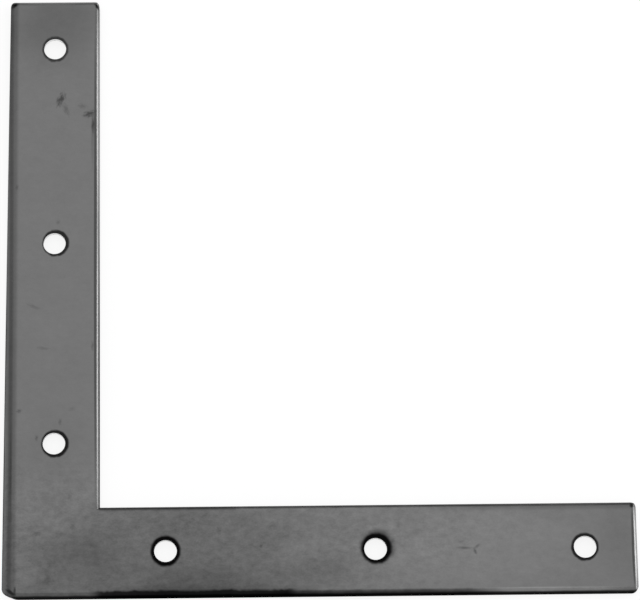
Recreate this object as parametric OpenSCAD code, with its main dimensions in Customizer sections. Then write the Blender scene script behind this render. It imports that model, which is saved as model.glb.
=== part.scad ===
// Flat corner brace: one L-shaped plate punched from strip steel.
// It lies on its back face with the screw-head face up (+Z).
// The origin is where the two screw-hole lines cross, on the back face.
// One arm runs along +X and the other along +Y. All lengths are in mm.

/* [Plate] */
// length of each arm, measured from the outer corner of the L
arm_l = 152.4; // [120:0.1:200]
// width of each arm
arm_w = 22.2; // [18:0.1:30]
// thickness of the plate
plate_t = 3; // [3:0.1:5]

/* [Screw holes] */
// number of screw holes in each arm
arm_holes = 3; // [2:1:3]
// distance from the end of an arm to its last screw hole
hole_end = 12.7; // [8:0.1:16]
// diameter of the straight part of a screw hole
hole_d = 5.5; // [4:0.1:6.5]
// rounding where the punch entered, at the front of a hole
hole_roll = 0.6; // [0.2:0.1:0.8]
// extra radius where the punch broke out, at the back of a hole
hole_break = 0.5; // [0:0.1:0.6]

/* [Edges and corners] */
// rounding of the front edges left by the die
edge_roll = 1.2; // [0.5:0.1:1.3]
// how far the outer side of the +Y arm stands out further at the heel than at its end
heel_flare = 1.5; // [0:0.1:1.6]
// corner radius at the ends of the arms
end_corner_r = 1.6; // [0.3:0.1:3]
// corner radius at the heel, the outer corner of the L
heel_corner_r = 2.5; // [0.5:0.1:4]

/* [Hidden] */
// half an arm width, also the distance from a hole line to either side
half_w = arm_w / 2;
// distance from the origin to the end of an arm
reach = arm_l - half_w;
// radius of the larger rounding along the outer side of the +Y arm
side_roll = edge_roll + heel_flare;
// distance from one screw hole to the next: the holes share the arm out equally
hole_pitch = arm_l / arm_holes;
// share of a hole's depth below the front rounding that is cut straight
land_share = 0.4;
// depth of the straight part of a hole
hole_land = land_share * (plate_t - hole_roll);
// distance by which cutting shapes overrun the plate
over = 1;
// segments in a full circle
$fn = 96;

// What a square corner loses when it is rounded, the corner being at the origin
// and the plate filling the +X +Y quarter.
module corner_bite(r) {
  difference() {
    translate([-over, -over])
      square(r + over);
    translate([r, r])
      circle(r);
  }
}

// The outline of the plate in plan, with the small flare at the heel.
module outline() {
  difference() {
    polygon([
      [-half_w - heel_flare, -half_w],
      [reach, -half_w],
      [reach, half_w],
      [half_w, half_w],
      [half_w, reach],
      [-half_w, reach]
    ]);
    translate([-half_w - heel_flare, -half_w])
      corner_bite(heel_corner_r);
    translate([reach, -half_w])
      rotate(90)
        corner_bite(end_corner_r);
    translate([reach, half_w])
      rotate(180)
        corner_bite(end_corner_r);
    translate([half_w, reach])
      rotate(180)
        corner_bite(end_corner_r);
    translate([-half_w, reach])
      rotate(270)
        corner_bite(end_corner_r);
  }
}

// A bar along X whose inner front edge, at y = half_w, is rounded.
// The outline trims its other three sides.
module inner_rolled_bar() {
  x_start = -half_w - heel_flare - over;
  bar_l = reach - x_start + over;
  translate([x_start, -half_w - over, 0])
    cube([bar_l, arm_w + over - edge_roll, plate_t]);
  translate([x_start, -half_w - over, 0])
    cube([bar_l, arm_w + over, plate_t - edge_roll]);
  translate([x_start, half_w - edge_roll, plate_t - edge_roll])
    rotate([0, 90, 0])
      cylinder(h = bar_l, r = edge_roll);
}

// What a front edge along X at y = 0 loses when it is rounded to radius r,
// the plate lying on the +Y side of it.
module roll_cut(length, r) {
  translate([-over, 0, 0])
    difference() {
      translate([0, -over - r, plate_t - r])
        cube([length + 2 * over, over + 2 * r, r + over]);
      translate([-over, r, plate_t - r])
        rotate([0, 90, 0])
          cylinder(h = length + 4 * over, r = r);
      translate([-over, r, 0])
        cube([length + 4 * over, 2 * r, plate_t]);
    }
}

// A punched hole: rounded where the punch entered, straight, then slightly
// wider where the slug broke away.
module punched_hole() {
  hole_r = hole_d / 2;
  break_h = plate_t - hole_roll - hole_land;
  translate([0, 0, -over])
    cylinder(h = plate_t + 2 * over, d = hole_d);
  cylinder(h = break_h, r1 = hole_r + hole_break, r2 = hole_r);
  rotate_extrude()
    translate([hole_r, plate_t - hole_roll])
      difference() {
        square([hole_roll, hole_roll + over]);
        translate([hole_roll, 0])
          circle(hole_roll);
      }
}

// The screw holes of the arm along X.
module arm_hole_row() {
  for (i = [0 : arm_holes - 1])
    translate([reach - hole_end - i * hole_pitch, 0, 0])
      punched_hole();
}

// The whole brace: two bars joined at the heel, trimmed to the outline,
// then rounded along the outer front edges and punched.
module corner_plate() {
  color([0.42, 0.42, 0.43])
    difference() {
      intersection() {
        linear_extrude(plate_t)
          outline();
        union() {
          inner_rolled_bar();
          mirror([1, -1, 0])
            inner_rolled_bar();
        }
      }
      translate([-half_w - heel_flare, -half_w, 0])
        roll_cut(arm_l + heel_flare, edge_roll);
      translate([reach, -half_w, 0])
        rotate([0, 0, 90])
          roll_cut(arm_w, edge_roll);
      translate([half_w, reach, 0])
        rotate([0, 0, 180])
          roll_cut(arm_w, edge_roll);
      translate([edge_roll - half_w - side_roll, reach, 0])
        rotate([0, 0, 270])
          roll_cut(arm_l, side_roll);
      arm_hole_row();
      mirror([1, -1, 0])
        arm_hole_row();
    }
}

corner_plate();
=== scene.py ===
# %% [markdown]
# # Flat corner brace
# A flat steel plate in the shape of an L, punched from strip, with a row of
# screw holes in each arm. It lies on its back on a pale floor, front face up.
# The exact model sets every size. This script adds the looks: the rolled front
# edges, the punched holes, the dull dark steel, the light and the camera.

# %% Load the exact model
import bpy
import bmesh
import math
from mathutils import Matrix, Vector, noise


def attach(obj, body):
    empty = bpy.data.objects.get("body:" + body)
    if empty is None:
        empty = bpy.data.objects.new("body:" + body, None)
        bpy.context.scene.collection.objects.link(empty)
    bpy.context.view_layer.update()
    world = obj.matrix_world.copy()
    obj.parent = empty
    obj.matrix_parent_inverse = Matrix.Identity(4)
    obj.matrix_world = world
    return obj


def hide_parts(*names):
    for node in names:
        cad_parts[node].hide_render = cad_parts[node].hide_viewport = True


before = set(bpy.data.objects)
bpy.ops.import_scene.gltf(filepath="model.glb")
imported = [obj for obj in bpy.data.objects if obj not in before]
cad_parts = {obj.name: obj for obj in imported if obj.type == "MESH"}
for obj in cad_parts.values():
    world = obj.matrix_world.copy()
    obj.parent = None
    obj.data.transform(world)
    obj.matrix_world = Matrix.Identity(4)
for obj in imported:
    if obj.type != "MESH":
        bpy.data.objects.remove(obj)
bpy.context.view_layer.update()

# %% [markdown]
# ## Sizes
# These are the same named sizes as in the part's source, here in metres. The
# origin is where the two lines of holes cross, on the back face. One arm runs
# along +X and the other along +Y.

# %% Named sizes
MM = 0.001
ARM_L = 152.4 * MM
ARM_W = 22.2 * MM
PLATE_T = 3.0 * MM
HOLE_END = 12.7 * MM
ARM_HOLES = 3
HOLE_PITCH = ARM_L / ARM_HOLES
HOLE_R = 2.75 * MM
HOLE_ROLL = 0.6 * MM
HOLE_BREAK = 0.5 * MM
LAND_SHARE = 0.4
EDGE_ROLL = 1.2 * MM
HEEL_FLARE = 1.5 * MM
END_CORNER_R = 1.6 * MM
HEEL_CORNER_R = 2.5 * MM

HALF_W = ARM_W / 2
REACH = ARM_L - HALF_W
SIDE_ROLL = EDGE_ROLL + HEEL_FLARE
hole_places = [REACH - HOLE_END - i * HOLE_PITCH for i in reversed(range(ARM_HOLES))]
print("hole centres from the origin, mm:", [round(p / MM, 1) for p in hole_places])

# %% [markdown]
# ## The plan of the plate
# A real brace is cut from sheet in one stroke, so the plan comes first. It could
# be one outline with holes cut out by a boolean, but that leaves long thin faces
# that shade badly once the edges are round. Here the plan is a chain of cells.
# The heel is one square, and its right and upper edges are pulled out in steps,
# so that every hole gets a cell of its own.

# %% Draw the heel and pull out the arms
HALF_CELL = 9.0 * MM
SAME_PLACE = 0.001 * MM


def arm_stations():
    """The places along an arm where one cell ends and the next begins."""
    stops = []
    for place in hole_places:
        stops += [place - HALF_CELL, place + HALF_CELL]
    return stops + [REACH]


def pull_out_arm(bm, axis):
    """Pulls the heel's edge out along an axis, 0 for X and 1 for Y."""
    edge = max(bm.edges, key=lambda e: min(v.co[axis] for v in e.verts))
    for stop in arm_stations():
        made = bmesh.ops.extrude_edge_only(bm, edges=[edge])["geom"]
        for v in made:
            if isinstance(v, bmesh.types.BMVert):
                v.co[axis] = stop
        edge = next(g for g in made if isinstance(g, bmesh.types.BMEdge)
                    and all(abs(v.co[axis] - stop) < SAME_PLACE for v in g.verts))


bm = bmesh.new()
bmesh.ops.create_grid(bm, x_segments=1, y_segments=1, size=HALF_W)
pull_out_arm(bm, 0)
pull_out_arm(bm, 1)
print("plan cells:", len(bm.faces))

# %% [markdown]
# ## Corners
# The die that cuts the plate has worn corners, so the corners at the arm ends
# are a little round and the heel is rounder. The inside corner is sharp. A bevel
# on single points rounds them in the flat plan, before there is any thickness.

# %% Round the corners of the plan
END_CORNER_STEPS = 6
HEEL_CORNER_STEPS = 8


def corner_at(bm, x, y):
    """The point of the plan at a corner, as a list."""
    return [v for v in bm.verts if (v.co - Vector((x, y, 0))).length < SAME_PLACE]


def round_corners(bm, points, radius, steps):
    """Rounds single points of the plan to a radius, in a number of steps."""
    bmesh.ops.bevel(bm, geom=points, offset=radius, offset_type="OFFSET", segments=steps,
                    profile=0.5, affect="VERTICES", material=-1)


ends = (corner_at(bm, REACH, -HALF_W) + corner_at(bm, REACH, HALF_W)
        + corner_at(bm, HALF_W, REACH) + corner_at(bm, -HALF_W, REACH))
round_corners(bm, ends, END_CORNER_R, END_CORNER_STEPS)
round_corners(bm, corner_at(bm, -HALF_W, -HALF_W), HEEL_CORNER_R, HEEL_CORNER_STEPS)
print("corners rounded:", len(ends) + 1, "plan points:", len(bm.verts))

# %% [markdown]
# ## Thickness
# The plan is extruded to the height where the rolled edge begins. Extruding
# leaves the old faces looking up, so the back is turned to look down. Every
# later step depends on faces that look outwards.

# %% Extrude the plate
FLAT_TILT = 0.5


def turn_outwards(bm):
    """Makes the front faces look up and the back faces look down."""
    bm.normal_update()
    for f in bm.faces:
        at_back = f.calc_center_median().z < SAME_PLACE
        if abs(f.normal.z) > FLAT_TILT and (f.normal.z > 0) == at_back:
            f.normal_flip()
    bm.normal_update()


made = bmesh.ops.extrude_face_region(bm, geom=list(bm.faces))["geom"]
front = [g for g in made if isinstance(g, bmesh.types.BMFace)]
for v in {v for f in front for v in f.verts}:
    v.co.z = PLATE_T - EDGE_ROLL
turn_outwards(bm)
print("front faces:", len(front), "all faces:", len(bm.faces))

# %% [markdown]
# ## Rolled front edges
# Where a punch enters sheet steel, it drags the front edge down into a smooth
# roll, and the back edge stays crisp. A bevel of the front edges would do it,
# but it would also round the inside corner. Here the front is inset again and
# again, each time a little up and in, which walks round a quarter circle and
# keeps the corners as they are.

# %% Walk round the roll
ROLL_STEPS = 8
MERGE = 0.02 * MM


def quarter_round(radius, steps):
    """The small moves round a quarter circle: a leg that starts slowly, and one that starts fast."""
    angles = [math.pi / 2 * step / steps for step in range(steps + 1)]
    for a0, a1 in zip(angles, angles[1:]):
        slow = radius * (math.cos(a0) - math.cos(a1))
        fast = radius * (math.sin(a1) - math.sin(a0))
        yield slow, fast


for inward, upward in quarter_round(EDGE_ROLL, ROLL_STEPS):
    bmesh.ops.inset_region(bm, faces=front, thickness=inward, depth=upward,
                           use_even_offset=True, use_boundary=True)
bmesh.ops.remove_doubles(bm, verts=bm.verts, dist=MERGE)
bm.normal_update()
print("faces after the roll:", len(bm.faces))

# %% [markdown]
# ## Rings for the holes
# A hole needs a ring of points in the front face and one in the back face. The
# hole's cell is inset, the edges of the inset are cut into short pieces, and the
# points are set on a circle. The same function makes the front and back rings,
# so both have the same number of points and can be joined.

# %% Make a ring in a cell
HOLE_CUTS = 11
CELL_INSET = 3.0 * MM


def cell_under(bm, cx, cy, level):
    """The flat face that holds a hole centre, at the level of the front or back."""
    flat = [f for f in bm.faces
            if all(abs(v.co.z - level) < SAME_PLACE for v in f.verts)]
    return min(flat, key=lambda f: (f.calc_center_median().xy - Vector((cx, cy))).length)


def ring_face(bm, cx, cy, radius, level):
    """Insets the cell and sets the inset's points on a circle round the centre."""
    face = cell_under(bm, cx, cy, level)
    bmesh.ops.inset_region(bm, faces=[face], thickness=CELL_INSET, use_even_offset=True)
    bmesh.ops.bisect_edges(bm, edges=list(face.edges), cuts=HOLE_CUTS)
    ring = [loop.vert for loop in face.loops]
    start = max(range(len(ring)), key=lambda i: ring[i].co.x + ring[i].co.y)
    turn = 1 if face.normal.z > 0 else -1
    for i in range(len(ring)):
        angle = math.pi / 4 + turn * 2 * math.pi * i / len(ring)
        v = ring[(start + i) % len(ring)]
        v.co.x = cx + radius * math.cos(angle)
        v.co.y = cy + radius * math.sin(angle)
    return face


print("points in a ring:", 4 * (HOLE_CUTS + 1))

# %% [markdown]
# ## Punched holes
# A punched hole has three parts. The punch rolls the front edge in, then cuts a
# short straight wall, and the slug breaks away and leaves the back a little
# wider. From the front ring, insets walk down a quarter circle. From the back
# ring, one inset makes the cone. Then the two open ends are bridged.

# %% Punch the holes
HOLE_ROLL_STEPS = 6
BREAK_DEPTH = (1 - LAND_SHARE) * (PLATE_T - HOLE_ROLL)
hole_centres = [(p, 0.0) for p in hole_places] + [(0.0, p) for p in hole_places]

for cx, cy in hole_centres:
    mouth = ring_face(bm, cx, cy, HOLE_R + HOLE_ROLL, PLATE_T)
    for downward, inward in quarter_round(HOLE_ROLL, HOLE_ROLL_STEPS):
        bmesh.ops.inset_region(bm, faces=[mouth], thickness=inward, depth=-downward,
                               use_even_offset=True)
    exit_face = ring_face(bm, cx, cy, HOLE_R + HOLE_BREAK, 0.0)
    bmesh.ops.inset_region(bm, faces=[exit_face], thickness=HOLE_BREAK, depth=-BREAK_DEPTH,
                           use_even_offset=True)
    open_ends = list(mouth.edges) + list(exit_face.edges)
    bmesh.ops.delete(bm, geom=[mouth, exit_face], context="FACES_ONLY")
    bmesh.ops.bridge_loops(bm, edges=open_ends)
print("holes:", len(hole_centres), "faces:", len(bm.faces),
      "open edges:", sum(1 for e in bm.edges if not e.is_manifold))

# %% [markdown]
# ## Spare points along the edges
# A real rolled edge wavers a little, and a straight face can't waver without
# points to move. Cutting planes across both arms give the edges a point every
# few millimetres. They miss the holes of the arm that they divide.

# %% Cut spare points
SPARE = 4.0 * MM
SNAP = 0.01 * MM


def clear_of_holes(stop):
    """Whether a cut at this place along an arm misses its holes."""
    return all(abs(stop - place) > SPARE for place in hole_places)


stops = [-HALF_W + SPARE * i for i in range(1, int(ARM_L / SPARE))]
for along in (Vector((1, 0, 0)), Vector((0, 1, 0))):
    for stop in filter(clear_of_holes, stops):
        bmesh.ops.bisect_plane(bm, geom=bm.verts[:] + bm.edges[:] + bm.faces[:],
                               dist=SNAP, plane_co=along * stop, plane_no=along)
print("faces after the cuts:", len(bm.faces))

# %% [markdown]
# ## The outer side of the upright arm
# On the photographed brace the dark band along this side grows wider towards the
# heel. There the side stands out a little further and is rolled over with a
# larger radius. Insets can't change their width along an edge, so this is done
# by moving points. The points of that side slide outwards, and every rolled
# point takes the height that the rounds of all sides give at its place.

# %% The height of the front at any place
FACE_LINE = -HALF_W + EDGE_ROLL


def band_width(y):
    """How wide the rolled band of the outer side is at height y on the arm."""
    share = (REACH - y) / ARM_L
    return EDGE_ROLL + HEEL_FLARE * min(max(share, 0.0), 1.0)


def round_drop(inside, radius):
    """How far a rounded edge lies below the face, a distance inside its line."""
    left_over = min(max(radius - inside, 0.0), radius)
    return radius - math.sqrt(max(radius * radius - left_over * left_over, 0.0))


def front_drop(x, y):
    """How far the front lies below the flat face at a place in the plan."""
    outer = [round_drop(y + HALF_W, EDGE_ROLL),
             round_drop(x + HALF_W + HEEL_FLARE, SIDE_ROLL),
             round_drop(REACH - x, EDGE_ROLL),
             round_drop(REACH - y, EDGE_ROLL)]
    inner = min(round_drop(HALF_W - y, EDGE_ROLL), round_drop(HALF_W - x, EDGE_ROLL))
    return max(outer + [inner])


print("band at the end and at the heel, mm:",
      round(band_width(REACH) / MM, 1), round(band_width(-HALF_W) / MM, 1))

# %% Shape the rolled edges
WAVER_LENGTH = 7.0 * MM
WAVER_SHARE = 0.08


def waver(x, y):
    """A slow unevenness, from 0 to 1, along the rolled edges."""
    return 0.5 + 0.5 * noise.noise(Vector((x, y, 0.0)) / WAVER_LENGTH)


for v in bm.verts:
    x, y, z = v.co
    if x < FACE_LINE - SAME_PLACE:
        share = (FACE_LINE - x) / EDGE_ROLL
        x = FACE_LINE - share * band_width(y)
    if z > PLATE_T - EDGE_ROLL - SAME_PLACE:
        z = PLATE_T - front_drop(x, y) * (1 + WAVER_SHARE * waver(x, y))
    v.co = (x, y, z)
lowest = min(v.co.z for v in bm.verts if v.co.z > SAME_PLACE)
print("lowest point above the back face, mm:", round(lowest / MM, 2))

# %% [markdown]
# ## Close up and hand over
# The finished plate is one closed shell. The sheared walls get the second
# material, and edges with a sharp bend stay crisp while the rest shades smooth.
# Weighted normals keep the large faces flat in the light next to the small
# rounds. The piece then stands for the exact model's plate and rides on its body.

# %% Make the steel plate
WALL_TILT = 0.4
CRISP_BEND = math.radians(32)

bmesh.ops.recalc_face_normals(bm, faces=bm.faces)
for f in bm.faces:
    f.smooth = True
    f.material_index = 1 if abs(f.normal.z) < WALL_TILT else 0
for e in bm.edges:
    e.smooth = e.calc_face_angle() <= CRISP_BEND
plate_mesh = bpy.data.meshes.new("steel_plate")
bm.to_mesh(plate_mesh)
bm.free()
plate = bpy.data.objects.new("steel_plate", plate_mesh)
bpy.context.scene.collection.objects.link(plate)
weigh = plate.modifiers.new("flat faces stay flat", "WEIGHTED_NORMAL")
weigh.keep_sharp = True
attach(plate, "root")
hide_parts("corner_plate")
print("plate triangles:", sum(len(p.vertices) - 2 for p in plate_mesh.polygons))

# %% [markdown]
# ## Reusable surface effects
# The plate has two finishes, the rolled faces and the sheared walls, and three
# effects come back in both. Each effect is a node group with named sockets, made
# once and placed with other values. Groups are long to write node by node, so a
# few helpers come first: a math node, a vector node, a noise and a soft step.

# %% Helpers for nodes
def put(tree, value, socket):
    """Gives a socket a number, or links another socket to it."""
    if isinstance(value, (int, float, tuple)):
        socket.default_value = value
    else:
        tree.links.new(value, socket)


def math_node(tree, operation, *values):
    """A math node on sockets or plain numbers. Returns its output."""
    node = tree.nodes.new("ShaderNodeMath")
    node.operation = operation
    for socket, value in zip(node.inputs, values):
        put(tree, value, socket)
    return node.outputs[0]


def vector_node(tree, operation, *values, out="Vector"):
    """A vector math node on sockets or plain vectors. Returns one output."""
    node = tree.nodes.new("ShaderNodeVectorMath")
    node.operation = operation
    for socket, value in zip(node.inputs, values):
        put(tree, value, socket)
    return node.outputs[out]


def noise_at(tree, vector, scale, detail=2.0, rough=0.5):
    """A noise from -0.5 to 0.5. The scale is in features to the metre."""
    node = tree.nodes.new("ShaderNodeTexNoise")
    node.inputs["Scale"].default_value = scale
    node.inputs["Detail"].default_value = detail
    node.inputs["Roughness"].default_value = rough
    tree.links.new(vector, node.inputs["Vector"])
    return math_node(tree, "SUBTRACT", node.outputs["Fac"], 0.5)


def fade(tree, value, low, high, out_low=0.0, out_high=1.0):
    """A smooth step from out_low to out_high while the value goes low to high."""
    node = tree.nodes.new("ShaderNodeMapRange")
    node.interpolation_type = "SMOOTHSTEP"
    for label, number in (("Value", value), ("From Min", low), ("From Max", high),
                          ("To Min", out_low), ("To Max", out_high)):
        put(tree, number, node.inputs[label])
    return node.outputs["Result"]


print("node helpers: put, math_node, vector_node, noise_at, fade")


# %% Helpers for groups
NUMBER = "NodeSocketFloat"
VECTOR = "NodeSocketVector"


def start_group(name, inputs, outputs):
    """A node group with named sockets. Returns it, its input node and its output node."""
    group = bpy.data.node_groups.new(name, "ShaderNodeTree")
    for label, kind, value in inputs:
        socket = group.interface.new_socket(name=label, in_out="INPUT", socket_type=kind)
        socket.default_value = value
    for label in outputs:
        group.interface.new_socket(name=label, in_out="OUTPUT", socket_type=NUMBER)
    return group, group.nodes.new("NodeGroupInput"), group.nodes.new("NodeGroupOutput")


def place_group(tree, group, position, values):
    """Places a group at a position, with a dictionary of socket values."""
    node = tree.nodes.new("ShaderNodeGroup")
    node.node_tree = group
    tree.links.new(position, node.inputs["Vector"])
    for label, value in values.items():
        node.inputs[label].default_value = value
    return node


print("group helpers: start_group, place_group")

# %% [markdown]
# ## Soft patch
# A handling mark, the painted shade round a hole, a painted highlight along an
# edge or a broad lighter area is an oval with a soft, ragged outline. A painted
# image would hold them all, but then the marks could not be moved or reused. Here
# a Mapping node lays a grid of the patch's own over the plate, centred, turned and
# stretched. A round gradient on that grid tells how far a point is from the
# centre, and noise bends that distance. The gradient ends one unit away, so a
# unit of the grid is twice the reach. Upwards the unit is a metre, so a patch
# goes straight through the plate.
#
# The plate needs over fifty patches, and Cycles can hold only some 250 numbers of
# one material at a time. Mapping, gradient and noise all take a point as it is. A
# vector math node between them would make every patch wait and hold four numbers.

# %% The soft patch group
WISP_SCALE = 4.4
UNIT = 2.0
FULL_SWING = 2.0

patch, patch_in, patch_out = start_group(
    "soft_patch",
    [("Vector", VECTOR, (0, 0, 0)), ("Centre", VECTOR, (0, 0, 0)), ("Turn", VECTOR, (0, 0, 0)),
     ("Unit", VECTOR, (1, 1, 1)), ("Core", NUMBER, 0.1), ("Ragged", NUMBER, 0.3)],
    ["Mask"])
grid = patch.nodes.new("ShaderNodeMapping")
grid.vector_type = "TEXTURE"
for label, socket in (("Vector", "Vector"), ("Location", "Centre"), ("Rotation", "Turn"),
                      ("Scale", "Unit")):
    patch.links.new(patch_in.outputs[socket], grid.inputs[label])
ball = patch.nodes.new("ShaderNodeTexGradient")
ball.gradient_type = "SPHERICAL"
patch.links.new(grid.outputs["Vector"], ball.inputs["Vector"])
away = math_node(patch, "MULTIPLY_ADD", ball.outputs["Fac"], -UNIT, UNIT)
wisps = noise_at(patch, grid.outputs["Vector"], WISP_SCALE, detail=3.0)
wobble = math_node(patch, "MULTIPLY", wisps, patch_in.outputs["Ragged"])
away = math_node(patch, "MULTIPLY_ADD", wobble, FULL_SWING, away)
put(patch, fade(patch, away, patch_in.outputs["Core"], 1.0, 1.0, 0.0), patch_out.inputs["Mask"])
print("soft patch nodes:", len(patch.nodes))


# %% Place patches
def patch_mask(tree, position, centre, reach, turn, core, ragged):
    """The mask of one soft patch. Centre and reach are in mm, the turn in degrees."""
    node = place_group(tree, patch, position, {
        "Centre": (centre[0] * MM, centre[1] * MM, 0),
        "Turn": (0, 0, math.radians(turn)),
        "Unit": (UNIT * reach[0] * MM, UNIT * reach[1] * MM, 1.0),
        "Core": core, "Ragged": ragged})
    return node.outputs["Mask"]


def add_patches(tree, position, tone, patches):
    """Multiplies the tone by each patch in turn. A strength below zero darkens."""
    for *shape, strength in patches:
        mask = patch_mask(tree, position, *shape)
        factor = math_node(tree, "MULTIPLY_ADD", mask, strength, 1.0)
        tone = math_node(tree, "MULTIPLY", tone, factor)
    return tone


print("one patch is: centre, reach, turn, core, ragged, strength")

# %% [markdown]
# ## Edge bands
# Painted shade lies along the sides of the plate, in bands with a ragged inner
# limit, and one band marks a wall that gets a painted sheen. Many patches in a
# row could show it, but one band needs fewer nodes. The mask depends on how far a
# point lies inside the line of a side, and on how far along the side it is, so
# that a band can begin and end.

# %% The edge band group
RAGGED_SCALE = 320.0

band, band_in, band_out = start_group(
    "painted_edge_band",
    [("Vector", VECTOR, (0, 0, 0)), ("Side", VECTOR, (1, 0, 0)), ("Line", NUMBER, 0.0),
     ("Width", NUMBER, MM), ("Soft", NUMBER, MM), ("Along", VECTOR, (0, 1, 0)),
     ("Start", NUMBER, -1.0), ("End", NUMBER, 1.0), ("Taper", NUMBER, MM),
     ("Ragged", NUMBER, 0.0)],
    ["Mask"])
at = band_in.outputs["Vector"]
outwards = vector_node(band, "DOT_PRODUCT", at, band_in.outputs["Side"], out="Value")
inside = math_node(band, "SUBTRACT", band_in.outputs["Line"], outwards)
teeth = noise_at(band, at, RAGGED_SCALE, detail=3.0)
inside = math_node(band, "MULTIPLY_ADD", teeth, band_in.outputs["Ragged"], inside)
far = math_node(band, "ADD", band_in.outputs["Width"], band_in.outputs["Soft"])
across = fade(band, inside, band_in.outputs["Width"], far, 1.0, 0.0)
run = vector_node(band, "DOT_PRODUCT", at, band_in.outputs["Along"], out="Value")
before = math_node(band, "SUBTRACT", band_in.outputs["Start"], band_in.outputs["Taper"])
after = math_node(band, "ADD", band_in.outputs["End"], band_in.outputs["Taper"])
begins = fade(band, run, before, band_in.outputs["Start"])
ends = fade(band, run, band_in.outputs["End"], after, 1.0, 0.0)
stretch = math_node(band, "MULTIPLY", begins, ends)
put(band, math_node(band, "MULTIPLY", across, stretch), band_out.inputs["Mask"])
print("painted edge band nodes:", len(band.nodes))


# %% Place bands
def add_painted_side_bands(tree, position, tone, bands):
    """Multiplies the tone by each band in turn, of painted shade or painted sheen. Lengths are in
    mm.
    """
    for side, line, width, soft, along, start, end, taper, ragged, strength in bands:
        node = place_group(tree, band, position, {
            "Side": side, "Line": line * MM, "Width": width * MM, "Soft": soft * MM,
            "Along": along, "Start": start * MM, "End": end * MM, "Taper": taper * MM,
            "Ragged": ragged * MM})
        factor = math_node(tree, "MULTIPLY_ADD", node.outputs["Mask"], strength, 1.0)
        tone = math_node(tree, "MULTIPLY", tone, factor)
    return tone


print("one band is: side, line, width, soft, along, start, end, taper, ragged, strength")

# %% [markdown]
# ## Mill skin
# Rolled steel is never one even grey. Large soft blotches, smears, small flecks
# and a fine grain lie over each other, drawn out a little along the strip. Four
# noises of different size give the tone, and the smaller ones give the relief.

# %% The mill skin group
DRAWN_OUT = (0.7, 1.0, 1.0)
BLOTCH_SCALE = 45.0
SMEAR_SCALE = 210.0
FLECK_SCALE = 760.0
GRAIN_SCALE = 2600.0
FLECK_RELIEF = 0.6
SMEAR_RELIEF = 0.4

skin, skin_in, skin_out = start_group(
    "mill_skin",
    [("Vector", VECTOR, (0, 0, 0)), ("Blotch", NUMBER, 0.1), ("Smear", NUMBER, 0.1),
     ("Fleck", NUMBER, 0.1), ("Grain", NUMBER, 0.1)],
    ["Tone", "Height"])
rolled = vector_node(skin, "MULTIPLY", skin_in.outputs["Vector"], DRAWN_OUT)
blotch = noise_at(skin, rolled, BLOTCH_SCALE, detail=3.0)
smear = noise_at(skin, rolled, SMEAR_SCALE, detail=4.0, rough=0.6)
fleck = noise_at(skin, rolled, FLECK_SCALE, rough=0.6)
grain = noise_at(skin, rolled, GRAIN_SCALE, rough=0.6)
tone = 1.0
for layer, label in ((blotch, "Blotch"), (smear, "Smear"), (fleck, "Fleck"), (grain, "Grain")):
    tone = math_node(skin, "MULTIPLY_ADD", layer, skin_in.outputs[label], tone)
put(skin, tone, skin_out.inputs["Tone"])
relief = math_node(skin, "MULTIPLY_ADD", fleck, FLECK_RELIEF, grain)
relief = math_node(skin, "MULTIPLY_ADD", smear, SMEAR_RELIEF, relief)
put(skin, relief, skin_out.inputs["Height"])
print("mill skin nodes:", len(skin.nodes))

# %% [markdown]
# ## Uneven tone of the face
# The photographed face has broad lighter and darker areas, and it is mottled at
# the heel and along the lower arm. It also has smudges, a dark streak, a scratch
# like a Y, small spots, and black spots of oil at the corners. Each is a soft
# patch with a place of its own, so that it can be set against the photograph by
# itself.

# %% Broad patches and small marks
BROAD_PATCHES = [
    ((34, -9), (34, 8), 0, 0.1, 0.35, -0.30),
    ((103, 2), (40, 16), 0, 0.1, 0.30, 0.14),
    ((0, 136), (18, 16), 0, 0.1, 0.20, -0.25),
    ((1, 27), (9, 11), 0, 0.1, 0.30, -0.07),
    ((4, -4), (22, 17), 20, 0.1, 0.40, -0.26),
    ((137, 2), (7, 14), 0, 0.1, 0.30, -0.10),
    ((34, 1), (38, 19), 0, 0.35, 0.30, -0.20),
    ((64, -6), (15, 7), 0, 0.1, 0.30, -0.20),
]
MOTTLED = ((22.0, 2.0), (130.0, 26.0), 0, 0.3, 0.2)
SMUDGES = [
    ((1.5, 115.2), (1.3, 2.4), -20, 0.1, 0.9, -0.62),
    ((2.8, 112.6), (1.0, 2.2), 25, 0.1, 0.9, -0.26),
    ((8.6, 111.4), (2.2, 1.1), 12, 0.1, 0.8, -0.62),
    ((6.9, 113.4), (1.6, 0.8), -20, 0.1, 0.9, -0.24),
    ((9.5, 108.5), (0.6, 2.9), 0, 0.1, 0.6, -0.58),
    ((9.4, 105.0), (0.6, 10.0), 0, 0.1, 0.5, -0.20),
    ((-5.0, 61.6), (2.6, 0.6), -25, 0.1, 0.9, -0.22),
    ((-2.6, 51.0), (2.2, 0.5), -10, 0.1, 0.9, -0.22),
]
SCRATCH = [
    ((99.4, 0.0), (2.7, 0.5), -4, 0.1, 0.4, -0.40),
    ((101.9, -0.9), (1.3, 0.5), -72, 0.1, 0.4, -0.45),
    ((102.4, 0.4), (1.2, 0.5), 32, 0.1, 0.4, -0.34),
    ((98.4, 1.5), (1.2, 0.5), 0, 0.1, 0.6, -0.22),
]
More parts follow.
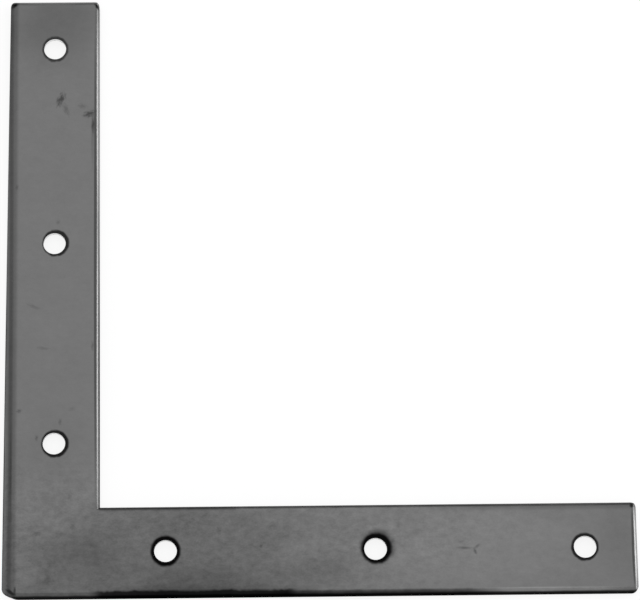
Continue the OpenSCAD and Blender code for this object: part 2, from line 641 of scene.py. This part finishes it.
SPOTS = [
    ((50.1, 1.0), (0.6, 0.6), 0, 0.1, 0.6, -0.35),
    ((40.0, 4.8), (0.9, 1.2), 0, 0.1, 0.8, -0.18),
    ((3.9, 13.6), (1.0, 1.6), 20, 0.1, 0.9, -0.20),
    ((-4.2, 4.6), (2.2, 0.8), 15, 0.1, 0.9, -0.22),
    ((2.0, 4.4), (1.8, 0.8), -12, 0.1, 0.9, -0.20),
    ((4.6, 6.2), (0.9, 1.0), 0, 0.1, 0.9, -0.16),
    ((-1.4, -6.6), (1.2, 1.8), 0, 0.1, 0.9, -0.18),
    ((83.5, 5.8), (0.8, 1.0), 0, 0.1, 0.8, -0.14),
    ((-8.5, 35.2), (0.9, 0.7), 0, 0.1, 0.8, -0.40),
    ((-4.2, 28.4), (0.6, 0.9), 0, 0.1, 0.8, -0.35),
    ((1.5, 32.4), (0.6, 1.1), 0, 0.1, 0.8, -0.30),
    ((-9.3, 92.4), (0.6, 0.9), 0, 0.1, 0.8, -0.30),
    ((0.9, 83.2), (0.7, 0.7), 0, 0.1, 0.8, -0.25),
    ((9.4, 51.5), (0.5, 1.6), 0, 0.1, 0.8, -0.30),
    ((4.4, 35.6), (1.3, 0.7), 20, 0.1, 0.8, -0.14),
]
OILY_CORNERS = [
    ((-10.1, 140.2), (0.8, 1.4), -45, 0.2, 0.5, -0.95),
    ((10.5, 139.8), (0.6, 1.4), 35, 0.2, 0.5, -0.95),
    ((140.2, 10.1), (0.7, 0.7), 0, 0.3, 0.3, -0.80),
    ((-10.3, -9.8), (2.0, 0.6), -38, 0.3, 0.4, -0.72),
    ((-9.3, -9.4), (0.45, 1.3), 0, 0.2, 0.4, -0.60),
]
SMALL_MARKS = SMUDGES + SCRATCH + SPOTS + OILY_CORNERS
print("broad patches:", len(BROAD_PATCHES), "small marks:", len(SMALL_MARKS))

# %% [markdown]
# ## Lines along the rolled edges
# The rolled edges get a painted highlight, a brighter tone along the roll, and
# just inside them a dark line of painted shade. The light and dark line side by
# side are what makes the edge look round from afar.

# %% Painted shade lines and painted highlights on the edges
# Painted shade: dark lines just inside the rolled edges.
PAINTED_SHADE_LINES = [
    ((10.05, 76.0), (0.45, 72.0), 0, 0.5, 0.15, -0.55),
    ((140.25, 0.0), (0.45, 12.0), 0, 0.5, 0.15, -0.50),
    ((-10.3, 52.0), (0.5, 72.0), 0, 0.3, 0.30, -0.16),
    ((11.05, 48.0), (0.4, 38.0), 0, 0.5, 0.10, -0.60),
    ((-10.5, 20.0), (0.4, 14.0), 0, 0.3, 0.30, -0.26),
]
# Painted highlight: a brighter tone along the rolled edges.
PAINTED_EDGE_HIGHLIGHTS = [
    ((10.8, 112.0), (0.6, 34.0), 0, 0.4, 0.10, 0.75),
    ((10.6, 50.0), (0.45, 42.0), 0, 0.4, 0.10, 0.60),
    ((140.95, 0.0), (0.7, 12.5), 0, 0.4, 0.10, 1.2),
    ((119.0, -10.35), (27.0, 0.7), 0, 0.4, 0.10, 0.7),
    ((-11.55, 55.0), (0.75, 90.0), 0, 0.4, 0.25, 0.55),
    ((125.0, 10.95), (24.0, 0.7), 0, 0.4, 0.10, 0.70),
    ((0.0, 140.9), (10.0, 0.8), 0, 0.4, 0.10, 0.50),
]
print("dark lines:", len(PAINTED_SHADE_LINES), "rubbed edges:", len(PAINTED_EDGE_HIGHLIGHTS))

# %% [markdown]
# ## Painted shade of the holes and sides
# Painted shade makes the holes, their rims and the front side black, and draws a
# thin dark line along the outer side of the upright arm. That side is flared, so
# its band follows the slanted line. A lighter painted shade darkens the rolled
# left side and the inner side of the lower arm a little. The rims of the holes
# differ, and the middle hole of the lower arm has a second, wider ring of painted
# shade.

# %% Painted shade of the hole rims and the sides
# Painted shade: dark rings round the holes that reach into their walls.
HOLE_RIM_SHADE = [
    ((27.0, -0.05), (4.0, 4.15), 0, 0.82, 0.06, -0.97),
    ((78.0, 0.1), (4.1, 4.2), 0, 0.80, 0.08, -0.95),
    ((78.3, 0.5), (5.0, 4.8), 40, 0.65, 0.15, -0.55),
    ((128.5, -0.05), (3.6, 3.7), 0, 0.85, 0.08, -0.90),
    ((0.25, 26.9), (3.6, 3.7), 0, 0.85, 0.08, -0.90),
    ((0.3, 77.85), (3.55, 3.65), 0, 0.85, 0.10, -0.85),
    ((0.05, 128.5), (3.5, 3.6), 0, 0.85, 0.12, -0.68),
]
LEFT = (-1, 0, 0)
FRONT_SIDE = (0, -1, 0)
BACK_SIDE = (0, 1, 0)
ALONG_X = (1, 0, 0)
ALONG_Y = (0, 1, 0)
LINE_MM = HALF_W / MM
FLARED_SIDE = Vector((-ARM_L, HEEL_FLARE, 0)).normalized()
FLARED_LINE_MM = FLARED_SIDE.dot(Vector((-HALF_W, REACH, 0))) / MM
# Painted shade: black bands along the front side and a thin line along the flared outer side.
BLACK_SIDE_SHADE = [
    (tuple(FLARED_SIDE), FLARED_LINE_MM, 0.12, 0.25, ALONG_Y, 8, 55, 15, 0.2, -0.55),
    (FRONT_SIDE, LINE_MM, 0.95, 0.8, ALONG_X, 12, 56, 4, 1.3, -0.88),
    (FRONT_SIDE, LINE_MM, 1.2, 2.0, ALONG_X, 22, 56, 10, 1.6, -0.22),
    (FRONT_SIDE, LINE_MM, 0.5, 0.9, ALONG_X, 60, 98, 14, 0.7, -0.70),
    (FRONT_SIDE, LINE_MM, 0.15, 0.4, ALONG_X, -14, 145, 1, 0.2, -0.85),
]
# Painted shade: a lighter darkening of the rolled left side and of the inner side of the lower arm.
SOFT_SIDE_SHADE = [
    (LEFT, LINE_MM, 1.3, 1.1, ALONG_Y, -12, 145, 1, 0.4, -0.33),
    (BACK_SIDE, LINE_MM, 0.4, 0.5, ALONG_X, LINE_MM, 145, 0.3, 0.3, -0.72),
    (BACK_SIDE, LINE_MM, 0.8, 0.7, ALONG_X, LINE_MM, 44, 0.3, 0.5, -0.30),
    (BACK_SIDE, LINE_MM, 1.0, 1.3, ALONG_X, 105, 145, 20, 0.3, -0.27),
]


def unshaded_share(tree, position):
    """How much is left unshaded: 1 where the steel is bare, near 0 under painted shade."""
    unshaded = add_patches(tree, position, 1.0, HOLE_RIM_SHADE)
    return add_painted_side_bands(tree, position, unshaded, BLACK_SIDE_SHADE)


print("rim shade:", len(HOLE_RIM_SHADE), "black side shade:", len(BLACK_SIDE_SHADE), "soft side shade:", len(SOFT_SIDE_SHADE))

# %% [markdown]
# ## Two steels from one start
# The faces and the cut walls are the same metal in two states, so both materials
# start alike. The faint mirror that Blender gives everything that is not metal is
# turned off. Where the painted shade takes the metal away, it would shine grey at
# low angles, and the photograph is black there. Each material then gets its own
# grey, metal, roughness and relief.

# %% Helpers for the two steels
def start_steel(name):
    """A new metal. Returns the material, its nodes, its shader and the place on the plate."""
    mat = bpy.data.materials.new(name)
    mat.use_nodes = True
    shader = mat.node_tree.nodes["Principled BSDF"]
    shader.inputs["Specular IOR Level"].default_value = 0.0
    coords = mat.node_tree.nodes.new("ShaderNodeTexCoord")
    return mat, mat.node_tree, shader, coords.outputs["Object"]


def set_grey(tree, shader, value):
    """Feeds one number to all three parts of the base colour."""
    node = tree.nodes.new("ShaderNodeCombineColor")
    for socket in node.inputs[:3]:
        tree.links.new(value, socket)
    tree.links.new(node.outputs[0], shader.inputs["Base Color"])


def add_bump(tree, shader, height, distance):
    """Raises and lowers the surface by up to a distance in metres."""
    bump = tree.nodes.new("ShaderNodeBump")
    bump.inputs["Distance"].default_value = distance
    tree.links.new(height, bump.inputs["Height"])
    tree.links.new(bump.outputs["Normal"], shader.inputs["Normal"])


print("steel helpers: start_steel, set_grey, add_bump")

# %% [markdown]
# ## Steel of the faces and the rolled edges
# The plate is bare mild steel, dull and dark, with a faint sheen. A bright metal
# would mirror the pale room, so the grey is kept low and the surface rough. The
# rolled edges are polished by the die and a little smoother. Handling marks,
# painted shade lines and painted highlights are on the front only, and fade out
# below the rolled edge. The painted shade of the hole rims and dark sides takes
# both the colour and the metal away.

# %% Tone of the face steel
FACE_GREY = 0.165
FACE_SKIN = {"Blotch": 0.10, "Smear": 0.20, "Fleck": 0.20, "Grain": 0.18}
MOTTLED_SKIN = {"Blotch": 0.10, "Smear": 0.40, "Fleck": 0.70, "Grain": 0.45}
MARKS_END = 0.8 * MM
MARKS_FULL = 1.4 * MM
UP = (0, 0, 1)

face_steel, tree, shader, place = start_steel("face_steel")
face_skin = place_group(tree, skin, place, FACE_SKIN)
mottled_skin = place_group(tree, skin, place, MOTTLED_SKIN)
extra = math_node(tree, "SUBTRACT", mottled_skin.outputs["Tone"], face_skin.outputs["Tone"])
tone = math_node(tree, "MULTIPLY_ADD", extra, patch_mask(tree, place, *MOTTLED),
                 face_skin.outputs["Tone"])
tone = add_patches(tree, place, tone, BROAD_PATCHES)

height = vector_node(tree, "DOT_PRODUCT", place, UP, out="Value")
on_front = fade(tree, height, MARKS_END, MARKS_FULL)
# These marks hold painted shade lines and painted highlights along the rolled edges, and below, the
# soft painted shade of the sides.
marks = add_patches(tree, place, 1.0, SMALL_MARKS + PAINTED_SHADE_LINES + PAINTED_EDGE_HIGHLIGHTS)
marks = add_painted_side_bands(tree, place, marks, SOFT_SIDE_SHADE)
change = math_node(tree, "SUBTRACT", marks, 1.0)
tone = math_node(tree, "MULTIPLY", tone, math_node(tree, "MULTIPLY_ADD", change, on_front, 1.0))
# Painted shade of the hole rims and the dark sides, on the face.
unshaded = unshaded_share(tree, place)
tone = math_node(tree, "MULTIPLY", tone, unshaded)
set_grey(tree, shader, math_node(tree, "MULTIPLY", tone, FACE_GREY))
print("face steel nodes for the tone:", len(tree.nodes))

# %% Shine and relief of the face steel
FACE_METAL = 0.92
FACE_ROUGH = 0.38
ROLL_ROUGH = 0.32
ROUGH_CHANGE = 0.12
ROLL_BEGINS = 0.02 * MM
ROLL_FULL = 0.2 * MM
ROLL_RELIEF = 0.3
FACE_BUMP = 0.012 * MM

put(tree, math_node(tree, "MULTIPLY", unshaded, FACE_METAL), shader.inputs["Metallic"])
drop = math_node(tree, "SUBTRACT", PLATE_T, height)
rough = fade(tree, drop, ROLL_BEGINS, ROLL_FULL, FACE_ROUGH, ROLL_ROUGH)
rough = math_node(tree, "MULTIPLY_ADD", face_skin.outputs["Height"], ROUGH_CHANGE, rough)
put(tree, rough, shader.inputs["Roughness"])
calm = fade(tree, drop, ROLL_BEGINS, ROLL_FULL, 1.0, ROLL_RELIEF)
add_bump(tree, shader, math_node(tree, "MULTIPLY", face_skin.outputs["Height"], calm), FACE_BUMP)
plate_mesh.materials.append(face_steel)
print("face steel nodes:", len(tree.nodes))

# %% [markdown]
# ## Steel of the cut walls
# The walls of the outline and of the holes were sheared, not rolled. They are
# rougher, and much darker, partly as sheared steel and partly as painted shade,
# with fine lines across the thickness where the metal tore.
# A noise squeezed along the height gives such lines on walls that face any way.

# %% Torn lines of the cut walls
CUT_SKIN = {"Blotch": 0.3, "Smear": 0.3, "Fleck": 0.2, "Grain": 0.2}
# The near-black greys are partly the sheared steel's own and partly painted shade.
CUT_DARK = 0.012
CUT_LIGHT = 0.034
LINE_SCALE = 900.0
LINE_SPREAD = 0.3
TALL_LINES = (1.0, 1.0, 0.06)
CUT_BUMP = 0.015 * MM

cut_steel, tree, shader, place = start_steel("cut_steel")
cut_skin = place_group(tree, skin, place, CUT_SKIN)
lines = noise_at(tree, vector_node(tree, "MULTIPLY", place, TALL_LINES), LINE_SCALE)
grey = fade(tree, lines, -LINE_SPREAD, LINE_SPREAD, CUT_DARK, CUT_LIGHT)
grey = math_node(tree, "MULTIPLY", cut_skin.outputs["Tone"], grey)
# Painted shade of the hole rims and the dark sides, on the walls.
unshaded = unshaded_share(tree, place)
grey = math_node(tree, "MULTIPLY", grey, unshaded)
add_bump(tree, shader, lines, CUT_BUMP)
plate_mesh.materials.append(cut_steel)
print("torn walls, nodes:", len(tree.nodes))

# %% [markdown]
# ## Bright lands
# A punch rubs the straight land of a hole bright before the metal tears below
# it. Seen at a slant, the land mirrors the white floor, so the holes look larger
# and rounder. The inner side of the upright arm gets the same bright metal as a
# painted sheen, more and more towards the arm's end. A mask by height and place
# marks both, and there the bright metal takes over from the torn one and its
# painted shade.

# %% Where the lands are bright and the wall gets a painted sheen
LAND_TOP = PLATE_T - HOLE_ROLL
LAND_EDGE = 0.05 * MM
LAND_FADE = 0.2 * MM
HOLE_REACH_MM = 3.4
SHARP_CORE = 0.95
HOLE_WALLS = [((x / MM, y / MM), (HOLE_REACH_MM, HOLE_REACH_MM), 0, SHARP_CORE, 0.0, -1.0)
              for x, y in hole_centres]
# Painted sheen: a band of bright metal on the inner wall of the upright arm.
WALL_SHEEN_BAND = [(ALONG_X, LINE_MM, 0.6, 0.4, ALONG_Y, 95, 145, 50, 0.0, -0.5)]

height = vector_node(tree, "DOT_PRODUCT", place, UP, out="Value")
above = fade(tree, height, BREAK_DEPTH - LAND_EDGE, BREAK_DEPTH + LAND_EDGE)
below = fade(tree, height, LAND_TOP, LAND_TOP + LAND_FADE, 1.0, 0.0)
outside = add_patches(tree, place, 1.0, HOLE_WALLS)
land = math_node(tree, "MULTIPLY", above, below)
land = math_node(tree, "MULTIPLY", land, math_node(tree, "SUBTRACT", 1.0, outside))
dull = add_painted_side_bands(tree, place, 1.0, WALL_SHEEN_BAND)
painted_sheen = math_node(tree, "MULTIPLY", above, math_node(tree, "SUBTRACT", 1.0, dull))
bright = math_node(tree, "MAXIMUM", land, painted_sheen)
print("lands lie between, mm:", round(BREAK_DEPTH / MM, 2), round(LAND_TOP / MM, 2))

# %% Torn and bright steel together
CUT_METAL = 0.7
CUT_ROUGH = 0.6
LAND_AND_SHEEN_GREY = 0.76
LAND_METAL = 1.0
LAND_ROUGH = 0.15


def blend(tree, mask, low, high):
    """A number that goes from low to high with a mask."""
    span = math_node(tree, "SUBTRACT", high, low)
    return math_node(tree, "MULTIPLY_ADD", mask, span, low)


# The bright grey of the lands also gives the inner wall its painted sheen.
set_grey(tree, shader, blend(tree, bright, grey, LAND_AND_SHEEN_GREY))
torn_metal = math_node(tree, "MULTIPLY", unshaded, CUT_METAL)
put(tree, blend(tree, bright, torn_metal, LAND_METAL), shader.inputs["Metallic"])
put(tree, blend(tree, bright, CUT_ROUGH, LAND_ROUGH), shader.inputs["Roughness"])
print("cut steel nodes:", len(tree.nodes))

# %% [markdown]
# ## Floor
# The photograph has a white background with hardly any shadow. More light would
# turn the steel pale, so the floor itself is grey and glows, but only for rays
# that come from the camera or bounce off metal. The light that it throws on the
# plate stays plain, and the plate still shades it where it lies.

# %% Lay the floor
FLOOR_SIZE = 4.0
FLOOR_GAP = 0.05 * MM
FLOOR_GREY = 0.18
FLOOR_ROUGH = 0.9
FLOOR_GLOW = 0.86

floor_bm = bmesh.new()
bmesh.ops.create_grid(floor_bm, x_segments=1, y_segments=1, size=FLOOR_SIZE,
                      matrix=Matrix.Translation((0, 0, -FLOOR_GAP)))
floor_mesh = bpy.data.meshes.new("floor")
floor_bm.to_mesh(floor_mesh)
floor_bm.free()
floor = bpy.data.objects.new("floor", floor_mesh)
bpy.context.scene.collection.objects.link(floor)

pale_floor = bpy.data.materials.new("pale_floor")
pale_floor.use_nodes = True
tree = pale_floor.node_tree
shader = tree.nodes["Principled BSDF"]
shader.inputs["Base Color"].default_value = (FLOOR_GREY, FLOOR_GREY, FLOOR_GREY, 1)
shader.inputs["Roughness"].default_value = FLOOR_ROUGH
shader.inputs["Specular IOR Level"].default_value = 0.0
rays = tree.nodes.new("ShaderNodeLightPath")
seen = math_node(tree, "MAXIMUM", rays.outputs["Is Camera Ray"], rays.outputs["Is Glossy Ray"])
seen = math_node(tree, "MAXIMUM", seen, rays.outputs["Is Transmission Ray"])
glow = tree.nodes.new("ShaderNodeEmission")
put(tree, math_node(tree, "MULTIPLY", seen, FLOOR_GLOW), glow.inputs["Strength"])
both = tree.nodes.new("ShaderNodeAddShader")
tree.links.new(shader.outputs[0], both.inputs[0])
tree.links.new(glow.outputs[0], both.inputs[1])
tree.links.new(both.outputs[0], tree.nodes["Material Output"].inputs["Surface"])
floor_mesh.materials.append(pale_floor)
print("floor side, m:", 2 * FLOOR_SIZE)

# %% [markdown]
# ## Lights
# The photograph was taken under soft light from above and behind, with a lower
# light at the right. The lower one draws the bright line on the right rolled
# edges and leaves the left side dark. A plain pale room fills in the rest.

# %% Hang the lights
ROOM_GREY = 0.65
MIDDLE = (0.06, 0.06, 0.0)


def softbox(name, place, wide, tall, power):
    """A soft rectangular lamp that looks at the middle of the plate."""
    lamp_data = bpy.data.lights.new(name, "AREA")
    lamp_data.shape = "RECTANGLE"
    lamp_data.size = wide
    lamp_data.size_y = tall
    lamp_data.energy = power
    lamp = bpy.data.objects.new(name, lamp_data)
    lamp.location = place
    look = Vector(MIDDLE) - Vector(place)
    lamp.rotation_euler = look.to_track_quat("-Z", "Y").to_euler()
    bpy.context.scene.collection.objects.link(lamp)


softbox("overhead_softbox", (0.10, 0.36, 0.95), wide=0.9, tall=0.7, power=1.35)
softbox("right_strip", (0.95, 0.34, 0.32), wide=0.75, tall=0.45, power=2.8)
room = bpy.data.worlds.new("pale_room")
room.use_nodes = True
room_light = room.node_tree.nodes["Background"]
room_light.inputs["Color"].default_value = (ROOM_GREY, ROOM_GREY, ROOM_GREY, 1)
bpy.context.scene.world = room
print("lamps:", len(bpy.data.lights))

# %% [markdown]
# ## Camera
# The camera stands about a metre away on the side of the lower arm and looks
# down at the plate at a slant of 16 degrees. That makes the upright arm look
# shorter than the lower one, as in the photograph, and shows the front side as a
# thin dark band. A long lens keeps the two arms nearly free of perspective.

# %% Set up the camera
LENS_MM = 225.0
SENSOR_MM = 36.0
FAR_LIMIT = 10.0
CAMERA_PLACE = (0.04097, -0.20705, 0.94931)
CAMERA_TURN = (15.9243, -1.2244, -0.8699)

camera_data = bpy.data.cameras.new("camera")
camera_data.sensor_width = SENSOR_MM
camera_data.lens = LENS_MM
camera_data.clip_end = FAR_LIMIT
camera = bpy.data.objects.new("camera", camera_data)
camera.location = CAMERA_PLACE
camera.rotation_euler = [math.radians(turn) for turn in CAMERA_TURN]
bpy.context.scene.collection.objects.link(camera)
bpy.context.scene.camera = camera
bpy.context.scene.view_settings.view_transform = "Standard"
print("camera to the origin, m:", round(camera.location.length, 3))
